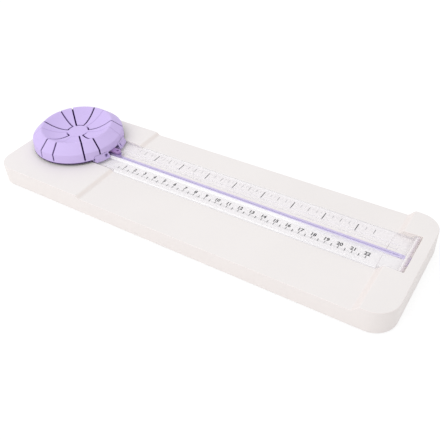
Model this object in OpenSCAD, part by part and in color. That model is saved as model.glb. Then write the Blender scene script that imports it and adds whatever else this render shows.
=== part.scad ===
// Paper trimmer with a flat moulded base, a clear ruler rail hinged at its right end, and a round palm
// cutter that slides along the rail. Pressing the palm cap drives the blade through the paper.
// The origin is on the table under the middle of the base: X runs along the cut to the right, Y to the far
// side and Z up. The cutter is drawn docked on the left head, with its cap up and the rail down.

/* [Base] */
// Length of the base, end to end
base_length = 347; // [340:1:400]
// Width of the base, near side to far side
base_width = 106; // [98:1:140]
// Plan radius of the corners of the base
base_corner = 16.5; // [8:0.5:22]
// Height of the paper platform above the table
platform_z = 14.4; // [13:0.1:20]
// Wall of the moulded base
base_wall = 2.2; // [1.6:0.1:2.6]
// Thickness of the cross webs under the platform
web_t = 1.6; // [1:0.1:3]
// Number of cross webs under the platform
web_count = 4; // [2:1:6]
// Distance of the cutting line behind the middle of the base
cut_offset = 8.6; // [4:0.1:12]

/* [Heads of the base] */
// Length of the left head, from the end of the base to the top of its step
left_head_length = 91.6; // [90:0.2:104]
// Rise of the left head above the platform
left_head_rise = 2.4; // [1.8:0.1:3.6]
// Run of the slope from the left head down to the platform
left_step_run = 3; // [1:0.2:6]
// Length of the right head, from the end of the base to the foot of its step
right_head_length = 25.8; // [24:0.2:36]
// Rise of the right head above the platform
right_head_rise = 5.4; // [5.2:0.1:8]
// Run of the slope from the platform up to the right head
right_step_run = 4.4; // [1:0.2:6]
// Wall left at the closed end of the channel in the left head
channel_end = 3.6; // [2:0.2:6]
// Wall left at the closed end of the hinge pocket in the right head
pocket_end = 7.9; // [6:0.1:10]

/* [Feet] */
// Diameter of a rubber foot
foot_d = 12; // [8:0.5:16]
// Depth of the seat that holds a foot
foot_seat = 2; // [1:0.1:3]
// Height that the feet lift the base off the table
foot_lift = 0.8; // [0.4:0.1:1.6]
// Distance from the ends of the base to the middle of a foot
foot_inset_x = 30; // [27:0.5:40]
// Distance from the long edges of the base to the middle of a foot
foot_inset_y = 16; // [12:0.5:24]
// Wall round a foot's seat
foot_rim = 1.5; // [1:0.1:3]

/* [Cutting strip] */
// Width of the cutting strip
strip_w = 4; // [3:0.1:6]
// Thickness of the cutting strip
strip_t = 1.4; // [1.2:0.1:1.6]
// Width of the groove that the blade runs in
groove_w = 1; // [0.8:0.1:2]
// Depth of the groove that the blade runs in
groove_d = 1; // [0.9:0.05:1.1]

/* [Rail] */
// Width of the ruler plate between the heads
rail_w = 40.6; // [39:0.2:48]
// Width of the necks that enter the heads
neck_w = 38; // [37:0.2:38.4]
// Thickness of the rail's plate
rail_t = 2.2; // [2:0.1:2.6]
// Thickness left at the bevelled edges of the ruler plate
rail_edge = 1; // [0.6:0.1:1.6]
// Width of the bevel along the edges of the ruler plate
rail_bevel = 2.4; // [1:0.1:4]
// Width of the slot that the cutter runs in
slot_w = 5.6; // [5:0.1:6]
// Width of the keyway under the slot
keyway_w = 9.2; // [9:0.1:10]
// Height of the keyway under the slot
keyway_h = 1.2; // [1.1:0.05:1.3]
// Width of each rib beside the slot
rib_w = 3.4; // [2.4:0.1:3.6]
// Height of each rib above the plate
rib_h = 1.2; // [0.8:0.1:1.6]
// Gap under the rail that takes the paper
paper_gap = 0.1; // [0.05:0.05:0.3]

/* [Hinge] */
// Diameter of the steel hinge pin
pin_d = 2; // [1.6:0.1:2.4]
// Outside diameter of the rail's hinge barrel
barrel_d = 4.8; // [4.2:0.1:5]
// Length of pin held in the base at each side of the pocket
pin_hold = 8; // [5:0.5:8]
// Thickness of the keeper plate under the pin
keeper_t = 2; // [1.4:0.1:3]
// Width of the keeper plate
keeper_w = 12; // [9:0.5:12]

/* [Palm cap] */
// Diameter of the palm cap at its foot
cap_d = 79.6; // [78:0.2:82]
// Height of the palm cap
cap_h = 15; // [14.6:0.1:17]
// Diameter of the cap's crest
crest_d = 60; // [57:0.5:63]
// Diameter at the break between the cap's wall and its shoulder
shoulder_d = 77; // [74:0.5:77.5]
// Height of that break above the foot of the cap
shoulder_h = 8.2; // [7.4:0.1:9]
// Diameter of the flat disc in the middle of the dish
disc_d = 18.6; // [12:0.2:22]
// Height of that disc above the foot of the cap
disc_h = 8.5; // [8.2:0.1:9.4]
// Wall of the cap
cap_wall = 2; // [1.6:0.1:2.2]
// Number of spokes in the dish
spoke_count = 6; // [5:1:8]
// Angle that one spoke takes up
spoke_angle = 20; // [12:1:24]
// Width of the grooves that outline the petals
petal_groove_w = 1.1; // [0.6:0.1:1.6]
// Depth of the grooves that outline the petals
petal_groove_d = 1; // [0.4:0.1:1.2]
// Width of the arches that clear the rail's ribs
arch_w = 14; // [13.6:0.2:18]
// Height of the arches above the foot of the cap
arch_h = 3.6; // [3.2:0.1:4]

/* [Cutter] */
// Gap between the docked cap and the left end of the base
dock_inset = 0.4; // [0:0.1:3]
// Travel of the cap when it is pressed
press_travel = 1.5; // [1:0.1:1.6]
// Gap left under the pressed cap
press_gap = 0.3; // [0.2:0.1:1]
// Reach of the carriage behind the middle of the cap
carriage_back = 30; // [28:0.5:30]
// Thickness of the foot of the carriage's round front wall
front_t = 1.5; // [1.2:0.1:2.4]
// Height of the carriage's round front wall
front_h = 5.2; // [4:0.1:5.6]
// Width of the slit in each side of the front wall
slit_w = 1.3; // [0.8:0.1:2]
// Thickness of the carriage's wings
wing_t = 1.4; // [1:0.1:1.6]
// Thickness of the carriage's bridge over the ribs
bridge_t = 1.6; // [1.2:0.1:2]
// Reach of the bridge in front of the middle of the cap
bridge_front = 18; // [16:0.5:18.5]
// Distance of the rear spring posts behind the middle of the cap
post_back = 20; // [16:0.5:22]
// Distance of the front spring posts in front of the middle of the cap
post_front = 14; // [12:0.5:16]
// Distance of the spring posts from the cutting line
post_y = 13.4; // [13.2:0.1:13.8]
// Outside diameter of a guide tube under the cap
tube_d = 5; // [4.6:0.1:5.2]
// Wire of a return spring
spring_wire = 0.7; // [0.5:0.05:0.8]

/* [Blade] */
// Distance of the blade in front of the middle of the cap
blade_x = 31; // [30:0.1:31]
// Length of the blade
blade_len = 12; // [10:0.5:12]
// Thickness of the blade
blade_t = 0.5; // [0.3:0.05:0.6]
// Depth that the pressed blade reaches below the platform
blade_bite = 0.7; // [0.4:0.05:0.75]
// Reach of the middle of the holder's nose in front of the cap
nose_out = 3.9; // [3:0.1:4.4]
// Diameter of the round head of the holder's nose
nose_d = 5.6; // [5.2:0.1:7]

/* [Hidden] */
$fn = 64;

// Clearances: sliding flat faces, parts dropped into seats, pins and tubes in their bores, ends of the rail
slide_gap = 0.3;
seat_gap = 0.1;
pin_gap = 0.06;
tube_gap = 0.1;
screw_gap = 0.05;
end_gap = 0.6;

// Reach of a cutting shape past the face that it cuts
over = 1;

// Places along X
left_x = -base_length / 2;
right_x = base_length / 2;
left_step_x = left_x + left_head_length;
left_foot_x = left_step_x + left_step_run;
right_foot_x = right_x - right_head_length;
right_step_x = right_foot_x + right_step_run;
channel_x = left_x + channel_end;
pocket_x = right_x - pocket_end;
barrel_r = barrel_d / 2;
barrel_gap = 1.1;
hinge_x = pocket_x - barrel_r - barrel_gap;
rail_x = channel_x + end_gap;
ruler_x0 = left_foot_x + end_gap;
ruler_x1 = right_foot_x - end_gap;
rail_bridge = 6;
slot_x = hinge_x - barrel_r - rail_bridge;
strip_x1 = hinge_x - barrel_r - over;

// Heights
rail_z = platform_z + paper_gap;
flange_z = rail_z + rail_t;
rib_z = flange_z + rib_h;
left_head_z = platform_z + left_head_rise;
right_head_z = platform_z + right_head_rise;
under_z = platform_z - base_wall;
hinge_z = rail_z + barrel_r;
pocket_drop = 0.4;
pocket_z = platform_z - pocket_drop;
keyway_z = rail_z + keyway_h;

// Widths of the channel, the pocket and the tracks
channel_w = neck_w + 2 * end_gap;
rib_y = slot_w / 2 + rib_w;

// Webs under the platform, and the beam that backs the cutting strip
web_rise = 3;
beam_side = 2;
beam_t = 1.6;
web_z = foot_lift + web_rise;
first_web_x = left_x + left_head_length / 2;
last_web_x = right_foot_x - right_head_length;
beam_y = strip_w / 2 + beam_side;
beam_z = under_z - beam_t;

// Keeper of the hinge pin and its screws
keeper_screw_out = 4.5;
keeper_end = 4;
pin_half = channel_w / 2 + pin_hold;
keeper_screw_y = pin_half + keeper_screw_out;
keeper_half = keeper_screw_y + keeper_end;
keeper_head_d = 5;
keeper_bite = 4;

// The cutter's own places: its middle when docked, and the heights of its pieces
cap_r = cap_d / 2;
cap_x = left_x + dock_inset + cap_r;
wing_z = flange_z + slide_gap;
wing_top = wing_z + wing_t;
wing_y0 = rib_y + 2 * slide_gap;
wing_y1 = neck_w / 2;
bridge_z = rib_z + slide_gap;
bridge_top = bridge_z + bridge_t;
bridge_y = wing_y0 + wing_t;
cap_foot_z = left_head_z + press_travel + press_gap;
crest_z = cap_foot_z + cap_h;
disc_z = cap_foot_z + disc_h;
shoulder_z = cap_foot_z + shoulder_h;
arch_z = cap_foot_z + arch_h;
arch_corner = 3;
notch_gap = 0.4;
notch_z = wing_top + press_travel + slide_gap;
notch_y = wing_y1 + notch_gap;

// Round front of the carriage, a wall that leans back to the cap, with a slit in each side
front_gap = 0.4;
front_lean = 0.5;
front_lip = 1.2;
front_in = cap_r + front_gap;
front_top = front_in - front_lean;
front_r = front_in + front_t;
front_z = wing_z + front_h;
slit_inset = 2;
slit_y = wing_y0 + slit_inset + slit_w / 2;
slit_cover = 0.8;
slit_z = front_z - slit_cover;

// Crest of the cap: a narrow rounded rim between the dish and the shoulder
crest_in = 1.6;
crest_out = 1.2;
crest_drop = 1;
wall_lean = 0.4;

// Distance of the petals' inner ends from the disc
petal_inset = 0.4;

// Fasteners of the cutter
cap_head_d = 5;
cap_head_h = 1.3;
cap_shank_d = 2.4;
cap_shank_l = 5;
washer_d = 6.8;
washer_t = 0.6;
counterbore_d = washer_d + 4 * seat_gap;
seat_z = wing_z + cap_head_h + washer_t + press_travel;
collar_wall = 1.4;
collar_cover = 1.2;
collar_d = counterbore_d + 2 * collar_wall;
collar_top = seat_z + collar_cover;
small_head_d = 4;
small_head_h = 1;
small_shank_d = 2.2;
posts = [for (x = [-post_back, post_front], s = [-1, 1]) [cap_x + x, cut_offset + s * post_y]];

// Stop in the open end of the rail's slot, with a screw into each rib
stop_x1 = cap_x - carriage_back - slide_gap;
stop_plate = 1.2;
stop_shank_d = 1.5;
stop_head_d = 2.8;
stop_head_h = 0.8;
stop_bite = 1.4;
stop_room = 0.5;
stop_screws = [for (s = [-1, 1]) [(rail_x + stop_x1) / 2, cut_offset + s * (slot_w + rib_w) / 2]];

// Height of the dish over the cap's own radius r, level with the disc inside it and with the crest at the rim
dish_steps = 8;
function dish_z(r) = disc_z + (crest_z - disc_z) * pow((2 * r - disc_d) / (crest_d - disc_d), 2);

// Return springs stand between the carriage's collars and seats under the dish
boss_h = 0.5;
spring_room = 0.5;
coil_room = 0.55;
spring_seat_z = dish_z(norm([post_front, post_y])) - cap_wall - boss_h;
spring_r = tube_d / 2 + spring_wire / 2 + spring_room;
spring_h = spring_seat_z - collar_top;
spring_pitch = spring_wire + coil_room;
spring_turns = max(1, floor((spring_h - spring_wire) / spring_pitch));
spring_sides = 6;
spring_rings = 8;

// Runner in the keyway: its front reaches under the nose and is lower than the ribs there
runner_x0 = cap_x - carriage_back;
nose_x = cap_x + cap_r + nose_out;
runner_gap = 0.25;
runner_rise = 0.2;
runner_screw_back = 24;
runner_screw_front = 10;
pilot_floor = 0.4;
runner_z0 = rail_z + runner_gap;
runner_z1 = keyway_z - runner_gap;
runner_low_z = flange_z + runner_rise;
runner_stem_y = slot_w / 2 - slide_gap;
runner_foot_y = keyway_w / 2 - slide_gap;
runner_screws_x = [cap_x - runner_screw_back, cap_x + runner_screw_front];
runner_bite = 2.2;
runner_pilot_z = runner_z1 + pilot_floor;
runner_head_z = bridge_top - small_head_h;

// Blade and blade holder, which sinks between the ribs when the cap is pressed
cut_x = cap_x + blade_x;
blade_x0 = cut_x - blade_len / 2;
blade_x1 = cut_x + blade_len / 2;
blade_tip_z = platform_z - blade_bite + press_travel;
blade_point = 1.6;
blade_room = 1;
holder_gap = 0.4;
holder_lead = 5;
holder_step = 0.5;
nose_gap = 0.8;
blade_cover = 0.6;
blade_show = 0.2;
holder_w = slot_w - 2 * slide_gap;
holder_z = runner_low_z + press_travel + holder_gap;
holder_back = blade_x - blade_len / 2 - holder_lead;
holder_x0 = cap_x + holder_back;
holder_step_x = cut_x - holder_step;
holder_top = dish_z(holder_back) - cap_wall - boss_h;
nose_z = rib_z + press_travel + slide_gap;
nose_top = arch_z - nose_gap;
blade_top = nose_top - blade_cover;
blade_side_z = holder_z + blade_show;
blade_pin_d = 1.6;
blade_pin_z = (holder_z + blade_top) / 2;
holder_screw_in = 2.6;
holder_screw = [holder_x0 + holder_screw_in, cut_offset];
holder_head_d = 3.2;
holder_head_h = 1;
holder_shank_d = 1.6;
holder_sink = 0.6;
holder_head_z = holder_z + holder_sink;
holder_bite = 1.2;
strip_x0 = cut_x - blade_len;
groove_inset = 2;

// Places of the feet, near and far, left and right
foot_x = base_length / 2 - foot_inset_x;
foot_y = base_width / 2 - foot_inset_y;

ivory = [0.95, 0.93, 0.92];
lilac = [0.82, 0.75, 0.94];
purple = [0.63, 0.53, 0.84];
clear = [0.88, 0.88, 0.95, 0.45];
steel = [0.76, 0.77, 0.79];
grey_rubber = [0.35, 0.35, 0.37];

// Rectangle with round corners, centred
module rounded_plan(l, w, r) {
    square([l - 2 * r, w], center = true);
    square([l, w - 2 * r], center = true);
    for (sx = [-1, 1], sy = [-1, 1])
        translate([sx * (l / 2 - r), sy * (w / 2 - r)])
            circle(r);
}

// Prism along X with its outline in Y and Z
module along_x(x0, x1) {
    translate([x0, 0, 0])
        rotate([90, 0, 90])
            linear_extrude(x1 - x0)
                children();
}

// Prism centred on the cutting line with its outline in X and Z
module across_y(width) {
    translate([0, cut_offset, 0])
        rotate([90, 0, 0])
            linear_extrude(width, center = true)
                children();
}

// Box given by its corners, with Y counted from the cutting line
module line_box(x0, x1, y0, y1, z0, z1) {
    translate([x0, cut_offset + y0, z0])
        cube([x1 - x0, y1 - y0, z1 - z0]);
}

// Round bar along Y, centred on the cutting line
module bar_y(x, z, d, length) {
    translate([x, cut_offset + length / 2, z])
        rotate([90, 0, 0])
            cylinder(d = d, h = length);
}

// Upright bar
module bar_z(place, d, z0, z1) {
    translate([place[0], place[1], z0])
        cylinder(d = d, h = z1 - z0);
}

// Screw with a round head; it points up where up is true
module screw(place, head_z, head_d, head_h, shank_d, shank_l, up) {
    shank_z = up ? head_z + head_h : head_z - shank_l;
    bar_z(place, head_d, head_z, head_z + head_h);
    bar_z(place, shank_d, shank_z - (up ? over / 2 : 0), shank_z + shank_l + (up ? 0 : over / 2));
}

// Base: stepped block, hollow underneath, with webs, foot seats, a channel, a hinge pocket and a strip groove
module base_block() {
    intersection() {
        translate([0, 0, foot_lift])
            linear_extrude(right_head_z)
                rounded_plan(base_length, base_width, base_corner);
        rotate([90, 0, 0])
            linear_extrude(base_width + 2 * over, center = true)
                polygon([[left_x - over, 0], [right_x + over, 0],
                    [right_x + over, right_head_z], [right_step_x, right_head_z],
                    [right_foot_x, platform_z], [left_foot_x, platform_z],
                    [left_step_x, left_head_z], [left_x - over, left_head_z]]);
    }
}

module base_inside(z0, z1) {
    translate([0, 0, z0])
        linear_extrude(z1 - z0)
            rounded_plan(base_length - 2 * base_wall, base_width - 2 * base_wall, base_corner - base_wall);
}

module base_webs() {
    web_step = (last_web_x - first_web_x) / (web_count - 1);
    for (i = [0 : web_count - 1])
        translate([first_web_x + i * web_step - web_t / 2, -base_width / 2, web_z])
            cube([web_t, base_width, platform_z]);
    line_box(left_x, hinge_x - keeper_w / 2 - over, -beam_y, beam_y, beam_z, platform_z);
    for (sx = [-1, 1], sy = [-1, 1])
        bar_z([sx * foot_x, sy * foot_y], foot_d + 2 * foot_rim, foot_lift, platform_z);
}

module base_shell() {
    color(ivory)
        difference() {
            base_block();
            difference() {
                base_inside(0, under_z);
                base_webs();
            }
            intersection() {
                base_inside(under_z - over, right_head_z - base_wall);
                translate([right_step_x + base_wall, -base_width / 2, 0])
                    cube([base_length, base_width / 2 + cut_offset - keeper_half - over, right_head_z]);
            }
            line_box(channel_x, left_foot_x + over, -channel_w / 2, channel_w / 2, platform_z, right_head_z);
            line_box(right_foot_x - over, pocket_x, -channel_w / 2, channel_w / 2,
                pocket_z, right_head_z + over);
            line_box(strip_x0 - seat_gap, strip_x1 + seat_gap, -strip_w / 2 - seat_gap,
                strip_w / 2 + seat_gap, platform_z - strip_t, right_head_z);
            bar_y(hinge_x, hinge_z, pin_d + 2 * screw_gap, 2 * pin_half + 2 * seat_gap);
            line_box(hinge_x - pin_d / 2 - screw_gap, hinge_x + pin_d / 2 + screw_gap,
                -pin_half - seat_gap, pin_half + seat_gap, under_z - over, hinge_z);
            for (s = [-1, 1])
                bar_z([hinge_x, cut_offset + s * keeper_screw_y], small_shank_d + 2 * screw_gap,
                    under_z - over, under_z + keeper_bite + over);
            for (sx = [-1, 1], sy = [-1, 1])
                bar_z([sx * foot_x, sy * foot_y], foot_d + 2 * seat_gap, 0, foot_lift + foot_seat);
        }
}

// Strip of soft plastic under the slot, with the groove that the blade's tip runs in
module cutting_strip() {
    color(purple)
        difference() {
            line_box(strip_x0, strip_x1, -strip_w / 2, strip_w / 2, platform_z - strip_t, platform_z);
            line_box(strip_x0 + groove_inset, strip_x1 - groove_inset, -groove_w / 2, groove_w / 2,
                platform_z - groove_d, platform_z + over);
        }
}

// Steel pin across the pocket, pushed in from below and held up by the keeper
module hinge_pin() {
    color(steel)
        bar_y(hinge_x, hinge_z, pin_d, 2 * pin_half);
}

module hinge_keeper() {
    color(ivory)
        difference() {
            union() {
                line_box(hinge_x - keeper_w / 2, hinge_x + keeper_w / 2, -keeper_half, keeper_half,
                    under_z - keeper_t, under_z);
                for (s = [-1, 1])
                    line_box(hinge_x - pin_d / 2 + screw_gap, hinge_x + pin_d / 2 - screw_gap,
                        s * (channel_w + pin_hold) / 2 - pin_hold / 2 + end_gap,
                        s * (channel_w + pin_hold) / 2 + pin_hold / 2 - end_gap,
                        under_z - keeper_t / 2, hinge_z - pin_d / 2 - screw_gap);
            }
            for (s = [-1, 1])
                bar_z([hinge_x, cut_offset + s * keeper_screw_y], small_shank_d + 4 * seat_gap,
                    under_z - keeper_t - over, under_z + over);
        }
}

module keeper_screws() {
    color(steel)
        for (s = [-1, 1])
            screw([hinge_x, cut_offset + s * keeper_screw_y], under_z - keeper_t - small_head_h,
                keeper_head_d, small_head_h, small_shank_d, keeper_t + keeper_bite, true);
}

// Rubber foot in its seat under one corner of the base
module foot(sx, sy) {
    color(grey_rubber)
        bar_z([sx * foot_x, sy * foot_y], foot_d, 0, foot_lift + foot_seat);
}

// Rail: clear ruler plate with two necks, a keyed slot between ribs, bevelled edges and a hinge barrel
module rail() {
    half = rail_w / 2;
    neck = neck_w / 2;
    neck_x1 = hinge_x - barrel_r / 2;
    color(clear)
        difference() {
            union() {
                translate([0, cut_offset, rail_z])
                    linear_extrude(rail_t)
                        polygon([[rail_x, -neck], [ruler_x0, -neck], [ruler_x0, -half], [ruler_x1, -half],
                            [ruler_x1, -neck], [neck_x1, -neck], [neck_x1, neck], [ruler_x1, neck],
                            [ruler_x1, half], [ruler_x0, half], [ruler_x0, neck], [rail_x, neck]]);
                for (s = [-1, 1])
                    line_box(rail_x, slot_x, s * (slot_w + rib_w) / 2 - rib_w / 2,
                        s * (slot_w + rib_w) / 2 + rib_w / 2, flange_z - rail_t / 2, rib_z);
                bar_y(hinge_x, hinge_z, barrel_d, neck_w);
            }
            line_box(rail_x - over, slot_x, -slot_w / 2, slot_w / 2, rail_z - over, rib_z + over);
            line_box(rail_x - over, slot_x, -keyway_w / 2, keyway_w / 2, rail_z - over, keyway_z);
            for (m = [0, 1])
                translate([0, cut_offset, 0])
                    mirror([0, m, 0])
                        along_x(ruler_x0 - end_gap / 2, ruler_x1 + end_gap / 2)
                            polygon([[half - rail_bevel, flange_z], [half, rail_z + rail_edge],
                                [half + over, rail_z + rail_edge], [half + over, rib_z],
                                [half - rail_bevel, rib_z]]);
            bar_y(hinge_x, hinge_z, pin_d + 2 * pin_gap, neck_w + 2 * over);
            for (place = stop_screws)
                bar_z(place, stop_shank_d + 2 * screw_gap, rib_z - stop_bite - stop_room, rib_z + over);
        }
}

// Stop that slides into the open end of the slot, joins its two sides and keeps the cutter on the rail
module end_stop() {
    stem_y = slot_w / 2 - seat_gap;
    key_y = keyway_w / 2 - seat_gap;
    color(clear)
        difference() {
            union() {
                line_box(rail_x, stop_x1, -rib_y, rib_y, rib_z, rib_z + stop_plate);
                line_box(rail_x, stop_x1, -stem_y, stem_y, rail_z + seat_gap, rib_z + stop_plate / 2);
                line_box(rail_x, stop_x1, -key_y, key_y, rail_z + seat_gap, keyway_z - seat_gap);
            }
            for (place = stop_screws)
                bar_z(place, stop_shank_d + 4 * screw_gap, rib_z - over / 2, rib_z + stop_plate + over);
        }
}

module end_stop_screws() {
    color(steel)
        for (place = stop_screws)
            screw(place, rib_z + stop_plate, stop_head_d, stop_head_h, stop_shank_d,
                stop_plate + stop_bite, false);
}

// Carriage: two wings that ride on the ruler plate, a bridge over the ribs, four collars for the springs
// and a round front wall beside the nose of the blade holder
module wing_plan() {
    intersection() {
        circle(front_r, $fn = 128);
        translate([-carriage_back, wing_y0])
            square([carriage_back + front_r, wing_y1 - wing_y0]);
    }
}

module front_wall() {
    difference() {
        intersection() {
            rotate_extrude()
                polygon([
                    [front_in, 0],
                    [front_r, 0],
                    [front_r, wing_t],
                    [front_top + front_lip, front_h],
                    [front_top, front_h],
                    [front_in, wing_t]
                ]);
            translate([0, wing_y0, 0])
                cube([cap_d, wing_y1 - wing_y0, front_h]);
        }
        translate([0, slit_y - slit_w / 2, wing_t])
            cube([cap_d, slit_w, slit_z - wing_top]);
    }
}

module carriage() {
    color(lilac)
        difference() {
            union() {
                for (m = [0, 1])
                    translate([cap_x, cut_offset, wing_z])
                        mirror([0, m, 0]) {
                            linear_extrude(wing_t)
                                wing_plan();
                            front_wall();
                        }
                line_box(runner_x0, cap_x + bridge_front, -bridge_y, bridge_y, wing_z, bridge_top);
                for (place = posts)
                    bar_z(place, collar_d, wing_z, collar_top);
            }
            line_box(runner_x0 - over, cap_x + bridge_front + over, -wing_y0, wing_y0,
                wing_z - over, bridge_z);
            for (place = posts) {
                bar_z(place, counterbore_d, wing_z - over, seat_z);
                bar_z(place, tube_d + 2 * tube_gap, seat_z - over, collar_top + over);
            }
            for (x = runner_screws_x) {
                bar_z([x, cut_offset], small_shank_d + 4 * seat_gap, bridge_z - over, bridge_top + over);
                bar_z([x, cut_offset], small_head_d + 4 * seat_gap, runner_head_z, bridge_top + over);
            }
        }
}

// Runner: a tee that hangs the carriage in the keyway, with a slit at the front for the blade
module slide_runner() {
    stem = runner_stem_y;
    foot = runner_foot_y;
    color(purple)
        difference() {
            union() {
                line_box(runner_x0, cap_x + bridge_front, -stem, stem, runner_z0, bridge_z);
                line_box(runner_x0, nose_x, -stem, stem, runner_z0, runner_low_z);
                bar_z([nose_x, cut_offset], 2 * stem, runner_z0, runner_low_z);
                line_box(runner_x0, nose_x, -foot, foot, runner_z0, runner_z1);
            }
            line_box(blade_x0 - blade_room, blade_x1 + blade_room, -blade_t / 2 - slide_gap,
                blade_t / 2 + slide_gap, rail_z - over, bridge_z);
            for (x = runner_screws_x)
                bar_z([x, cut_offset], small_shank_d + 2 * screw_gap, runner_pilot_z, bridge_z + over);
        }
}

module runner_screws() {
    color(steel)
        for (x = runner_screws_x)
            screw([x, cut_offset], runner_head_z, small_head_d, small_head_h, small_shank_d,
                runner_bite, false);
}

// Return spring: one unbroken tube of wire wound round a guide tube
function coil_point(t) = let (a = 360 * spring_turns * t)
    [spring_r * cos(a), spring_r * sin(a), spring_wire / 2 + t * (spring_h - spring_wire)];

function coil_ring(t) = let (
        a = 360 * spring_turns * t,
        out = [cos(a), sin(a), 0],
        up = [0, 0, 1])
    [for (k = [0 : spring_sides - 1]) let (b = 360 * k / spring_sides)
        coil_point(t) + spring_wire / 2 * (cos(b) * out + sin(b) * up)];

coil_steps = spring_turns * spring_rings;

module return_spring(place) {
    n = coil_steps;
    m = spring_sides;
    points = [for (i = [0 : n]) each coil_ring(i / n)];
    sides = [for (i = [0 : n - 1], k = [0 : m - 1]) each [
        [i * m + k, i * m + (k + 1) % m, (i + 1) * m + (k + 1) % m],
        [i * m + k, (i + 1) * m + (k + 1) % m, (i + 1) * m + k]]];
    ends = [for (k = [1 : m - 2]) each [[0, k + 1, k], [n * m, n * m + k, n * m + k + 1]]];
    color(steel)
        translate([place[0], place[1], collar_top])
            polyhedron(points, concat(sides, ends));
}

// Least distance between the coil's own surfaces, one turn apart
coil_gap = min([for (i = [0 : coil_steps - spring_rings])
    norm(coil_point((i + spring_rings) / coil_steps) - coil_point(i / coil_steps))]) - spring_wire;
echo(coil_gap = coil_gap);

// Palm cap: a dished shell of revolution, lowered by t all over its outside
module cap_profile(t) {
    crest_r = crest_d / 2;
    disc_r = disc_d / 2;
    dish_step = (crest_r - crest_in - disc_r) / dish_steps;
    shift = wall_lean * t;
    polygon(concat(
        [[0, cap_foot_z], [0, disc_z - t], [disc_r, disc_z - t]],
        [for (i = [1 : dish_steps]) let (r = disc_r + i * dish_step) [r, dish_z(r) - t]],
        [[crest_r - shift, crest_z - t], [crest_r + crest_out - shift, crest_z - crest_drop - t],
            [shoulder_d / 2 - t, shoulder_z - shift], [cap_r - t, cap_foot_z]]));
}

module cap_solid(t) {
    translate([cap_x, cut_offset, 0])
        rotate_extrude($fn = 128)
            cap_profile(t);
}

// Space under the middle of the cap's wall, open below its foot
module cap_core() {
    cap_solid(cap_wall / 2);
    bar_z([cap_x, cut_offset], cap_d - cap_wall, wing_z, cap_foot_z + over);
}

// Plan of the grooves: each petal between two spokes is outlined on three sides
module petal_grooves() {
    step = 360 / spoke_count;
    petal_r = disc_d / 2 + petal_inset;
    half = (step - spoke_angle) / 2;
    reach = 2 * petal_r;
    for (i = [0 : spoke_count - 1], s = [-1, 1])
        rotate((i + 0.5) * step + s * spoke_angle / 2)
            translate([petal_r + petal_groove_w / 2, -petal_groove_w / 2])
                square([cap_r, petal_groove_w]);
    for (i = [0 : spoke_count - 1])
        rotate(i * step)
            intersection() {
                difference() {
                    circle(petal_r + petal_groove_w);
                    circle(petal_r);
                }
                polygon([[0, 0], [reach, -reach * tan(half)], [reach, reach * tan(half)]]);
            }
}

module arch_outline() {
    r = arch_corner;
    translate([-arch_w / 2, cap_foot_z - over])
        square([arch_w, arch_h + over - r]);
    translate([-arch_w / 2 + r, cap_foot_z - over])
        square([arch_w - 2 * r, arch_h + over]);
    for (s = [-1, 1])
        translate([s * (arch_w / 2 - r), arch_z - r])
            circle(r);
}

module palm_cap() {
    color(lilac)
        difference() {
            union() {
                difference() {
                    cap_solid(0);
                    translate([0, 0, -over / 100])
                        cap_solid(cap_wall);
                    difference() {
                        translate([cap_x, cut_offset, cap_foot_z - over])
                            linear_extrude(cap_h + 2 * over)
                                petal_grooves();
                        cap_solid(petal_groove_d);
                    }
                }
                intersection() {
                    cap_core();
                    union() {
                        for (place = posts) {
                            bar_z(place, tube_d, seat_z - screw_gap, crest_z);
                            bar_z(place, 2 * spring_r + spring_wire, spring_seat_z, crest_z);
                        }
                        line_box(holder_x0, holder_step_x, -holder_w / 2, holder_w / 2, holder_top, crest_z);
                    }
                }
            }
            translate([0, cut_offset, 0])
                along_x(cap_x - cap_d, cap_x + cap_d)
                    arch_outline();
            line_box(cap_x, cap_x + cap_d, -notch_y, notch_y, cap_foot_z - over, notch_z);
            for (place = posts)
                bar_z(place, cap_shank_d + 2 * screw_gap, seat_z - over, seat_z + cap_shank_l + seat_gap);
            bar_z(holder_screw, holder_shank_d + 2 * screw_gap, holder_top - over,
                holder_top + holder_bite + slide_gap);
        }
}

module cap_screws() {
    color(steel)
        for (place = posts)
            screw(place, seat_z - screw_gap - washer_t - cap_head_h, cap_head_d, cap_head_h,
                cap_shank_d, washer_t + cap_shank_l, true);
}

module cap_washers() {
    color(steel)
        for (place = posts)
            difference() {
                bar_z(place, washer_d, seat_z - screw_gap - washer_t, seat_z - screw_gap);
                bar_z(place, cap_shank_d + 2 * seat_gap, seat_z - screw_gap - washer_t - over, seat_z + over);
            }
}

// Blade holder: block under the dish with a neck through the front arch and a round nose before it,
// slit for the blade
module blade_holder() {
    half = holder_w / 2;
    blade_slit = blade_t / 2 + screw_gap;
    color(purple)
        difference() {
            union() {
                line_box(holder_x0, holder_step_x, -half, half, holder_z, holder_top);
                line_box(holder_x0, nose_x, -half, half, holder_z, nose_top);
                bar_z([nose_x, cut_offset], holder_w, holder_z, nose_top);
                bar_z([nose_x, cut_offset], nose_d, nose_z, nose_top);
            }
            line_box(blade_x0 - seat_gap, blade_x1 + seat_gap, -blade_slit, blade_slit, holder_z - over,
                blade_top + seat_gap);
            bar_y(cut_x, blade_pin_z, blade_pin_d + 2 * screw_gap, holder_w + 2 * over);
            bar_z(holder_screw, holder_shank_d + 2 * screw_gap, holder_z - over, holder_top + over);
            bar_z(holder_screw, holder_head_d + 2 * seat_gap, holder_z - over, holder_head_z + holder_head_h);
        }
}

module holder_screw() {
    color(steel)
        screw(holder_screw, holder_head_z, holder_head_d, holder_head_h, holder_shank_d,
            holder_top + holder_bite - holder_head_z - holder_head_h, true);
}

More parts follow.
